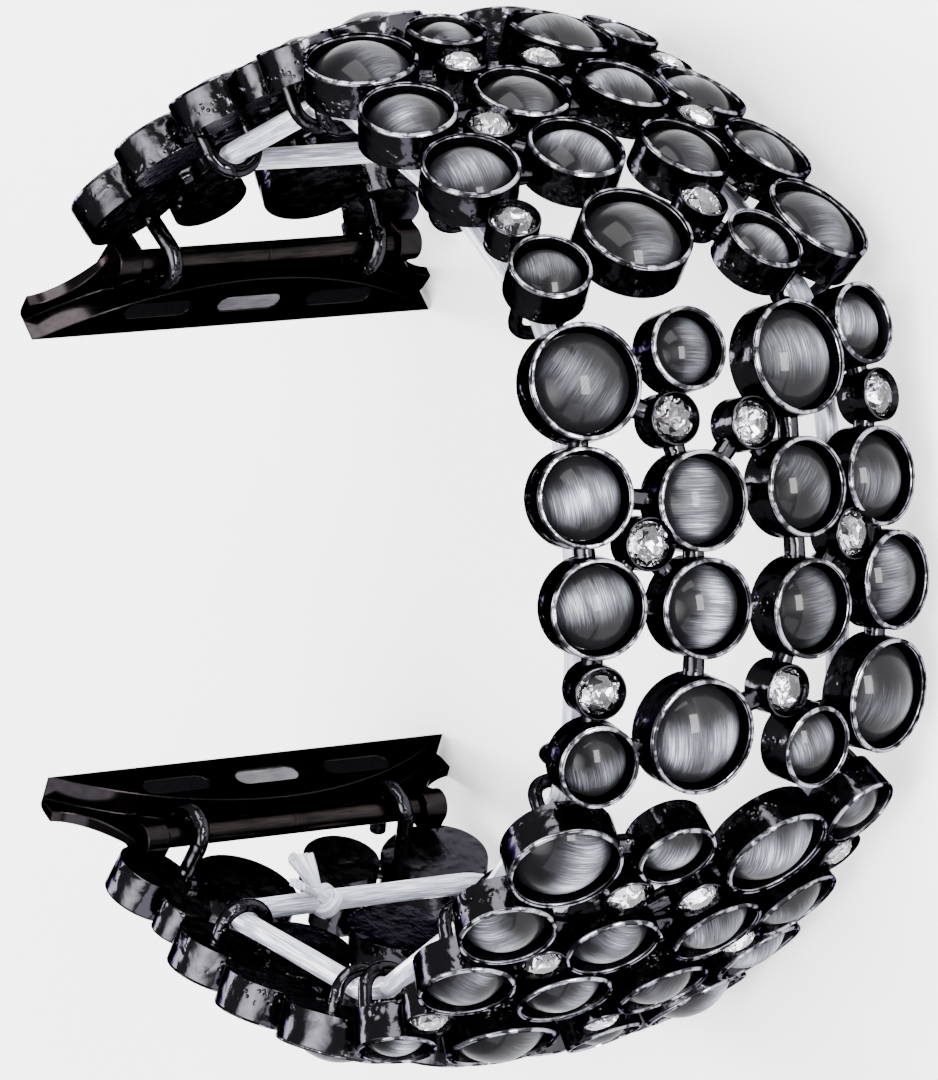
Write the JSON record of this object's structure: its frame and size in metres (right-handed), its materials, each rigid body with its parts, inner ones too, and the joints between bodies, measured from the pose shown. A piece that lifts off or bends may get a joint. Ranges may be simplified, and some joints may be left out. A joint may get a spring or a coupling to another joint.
{
  "type": "rhinestone watch band",
  "caption": "Stretch watch band of cast openwork plaques set with cat's-eye cabochons and crystals, strung on elastic cord, with sliding watch adapters at both ends",
  "frame": {"origin": "middle of the box's underside: the band stands on its long edge, with the far edge of the picture down", "axes": "Z is the wrist's axis and points to the edge that is near in the picture; the watch gap faces -X; the upper adapter of the picture is at +Y"},
  "size_m": [0.0595, 0.0664, 0.031],
  "materials": {
    "gunmetal": "cast zinc with a glossy black nickel plate",
    "cats_eye_glass": "grey fibre glass cabochon",
    "clear_crystal": "clear faceted glass with a foiled back",
    "elastic_cord": "white fibrous elastic",
    "black_adapter": "polished steel with a glossy black plate",
    "black_pad": "smooth black rubber",
    "brushed_button": "brushed steel",
    "black_bar": "black plated steel tube",
    "spring_steel": "drawn spring steel"
  },
  "bodies": {
    "plaque_3": {"plaque_3_casting": "gunmetal", "plaque_3_cabochons": "cats_eye_glass", "plaque_3_rhinestones": "clear_crystal", "elastic_run_3": "elastic_cord"},
    "link_23": {"elastic_bridge_23": "elastic_cord"},
    "plaque_2": {"plaque_2_casting": "gunmetal", "plaque_2_cabochons": "cats_eye_glass", "plaque_2_rhinestones": "clear_crystal", "elastic_run_2": "elastic_cord"},
    "link_12": {"elastic_bridge_12": "elastic_cord"},
    "plaque_1": {"plaque_1_casting": "gunmetal", "plaque_1_cabochons": "cats_eye_glass", "plaque_1_rhinestones": "clear_crystal", "elastic_run_1": "elastic_cord"},
    "link_34": {"elastic_bridge_34": "elastic_cord"},
    "plaque_4": {"plaque_4_casting": "gunmetal", "plaque_4_cabochons": "cats_eye_glass", "plaque_4_rhinestones": "clear_crystal", "elastic_run_4": "elastic_cord"},
    "link_45": {"elastic_bridge_45": "elastic_cord"},
    "plaque_5": {"plaque_5_casting": "gunmetal", "plaque_5_cabochons": "cats_eye_glass", "plaque_5_rhinestones": "clear_crystal", "elastic_run_5": "elastic_cord", "elastic_knot": "elastic_cord"},
    "upper_adapter": {"upper_adapter_body": "black_adapter", "upper_adapter_pads": "black_pad", "upper_latch_spring": "spring_steel", "upper_bar_tube": "black_bar", "upper_bar_spring": "spring_steel"},
    "upper_latch_button": {"upper_latch_button": "brushed_button"},
    "upper_bar_plunger_near": {"upper_bar_plunger_near": "spring_steel"},
    "upper_bar_plunger_far": {"upper_bar_plunger_far": "spring_steel"},
    "lower_adapter": {"lower_adapter_body": "black_adapter", "lower_adapter_pads": "black_pad", "lower_latch_spring": "spring_steel", "lower_bar_tube": "black_bar", "lower_bar_spring": "spring_steel"},
    "lower_latch_button": {"lower_latch_button": "brushed_button"},
    "lower_bar_plunger_near": {"lower_bar_plunger_near": "spring_steel"},
    "lower_bar_plunger_far": {"lower_bar_plunger_far": "spring_steel"}
  },
  "joints": [
    {"name": "flex_23", "type": "hinge", "parent": "plaque_3", "child": "link_23", "pos_m": [0.02514, 0.01528, 0.0155], "axis": [0, 0, -1], "range_deg": [-3, 24], "stiffness_Nm_per_rad": 0.02, "deforming": ["elastic_bridge_23"]},
    {"name": "stretch_23", "type": "slide", "parent": "link_23", "child": "plaque_2", "axis": [-0.4848, 0.8746, 0], "range_m": [0, 0.0025], "stiffness_N_per_m": 150},
    {"name": "flex_12", "type": "hinge", "parent": "plaque_2", "child": "link_12", "pos_m": [0.00019, 0.03087, 0.0155], "axis": [0, 0, -1], "range_deg": [-3, 24], "stiffness_Nm_per_rad": 0.02, "deforming": ["elastic_bridge_12"]},
    {"name": "stretch_12", "type": "slide", "parent": "link_12", "child": "plaque_1", "axis": [-0.9969, 0.0785, 0], "range_m": [0, 0.0025], "stiffness_N_per_m": 150},
    {"name": "flex_34", "type": "hinge", "parent": "plaque_3", "child": "link_34", "pos_m": [0.02514, -0.01415, 0.0155], "axis": [0, 0, 1], "range_deg": [-3, 24], "stiffness_Nm_per_rad": 0.02, "deforming": ["elastic_bridge_34"]},
    {"name": "stretch_34", "type": "slide", "parent": "link_34", "child": "plaque_4", "axis": [-0.4695, -0.8829, 0], "range_m": [0, 0.0025], "stiffness_N_per_m": 150},
    {"name": "flex_45", "type": "hinge", "parent": "plaque_4", "child": "link_45", "pos_m": [0.00075, -0.0306, 0.0155], "axis": [0, 0, 1], "range_deg": [-3, 24], "stiffness_Nm_per_rad": 0.02, "deforming": ["elastic_bridge_45"]},
    {"name": "stretch_45", "type": "slide", "parent": "link_45", "child": "plaque_5", "axis": [-0.9914, -0.1305, 0], "range_m": [0, 0.0025], "stiffness_N_per_m": 150},
    {"name": "upper_adapter_swing", "type": "hinge", "parent": "plaque_1", "child": "upper_adapter", "pos_m": [-0.02371, 0.01775, 0.0155], "axis": [0, 0, 1], "range_deg": [-4, 50]},
    {"name": "upper_latch_press", "type": "slide", "parent": "upper_adapter", "child": "upper_latch_button", "axis": [-0.6305, 0.7762, 0], "range_m": [0, 0.0005], "stiffness_N_per_m": 300, "deforming": ["upper_latch_spring"]},
    {"name": "upper_plunger_near_press", "type": "slide", "parent": "upper_adapter", "child": "upper_bar_plunger_near", "axis": [0, 0, -1], "range_m": [0, 0.0012], "stiffness_N_per_m": 400, "deforming": ["upper_bar_spring"]},
    {"name": "upper_plunger_far_press", "type": "slide", "parent": "upper_adapter", "child": "upper_bar_plunger_far", "axis": [0, 0, 1], "range_m": [0, 0.0012], "stiffness_N_per_m": 400, "deforming": ["upper_bar_spring"]},
    {"name": "lower_adapter_swing", "type": "hinge", "parent": "plaque_5", "child": "lower_adapter", "pos_m": [-0.02369, -0.01939, 0.0155], "axis": [0, 0, -1], "range_deg": [-1.5, 50]},
    {"name": "lower_latch_press", "type": "slide", "parent": "lower_adapter", "child": "lower_latch_button", "axis": [-0.5105, -0.8599, 0], "range_m": [0, 0.0005], "stiffness_N_per_m": 300, "deforming": ["lower_latch_spring"]},
    {"name": "lower_plunger_near_press", "type": "slide", "parent": "lower_adapter", "child": "lower_bar_plunger_near", "axis": [0, 0, -1], "range_m": [0, 0.0012], "stiffness_N_per_m": 400, "deforming": ["lower_bar_spring"]},
    {"name": "lower_plunger_far_press", "type": "slide", "parent": "lower_adapter", "child": "lower_bar_plunger_far", "axis": [0, 0, 1], "range_m": [0, 0.0012], "stiffness_N_per_m": 400, "deforming": ["lower_bar_spring"]}
  ]
}
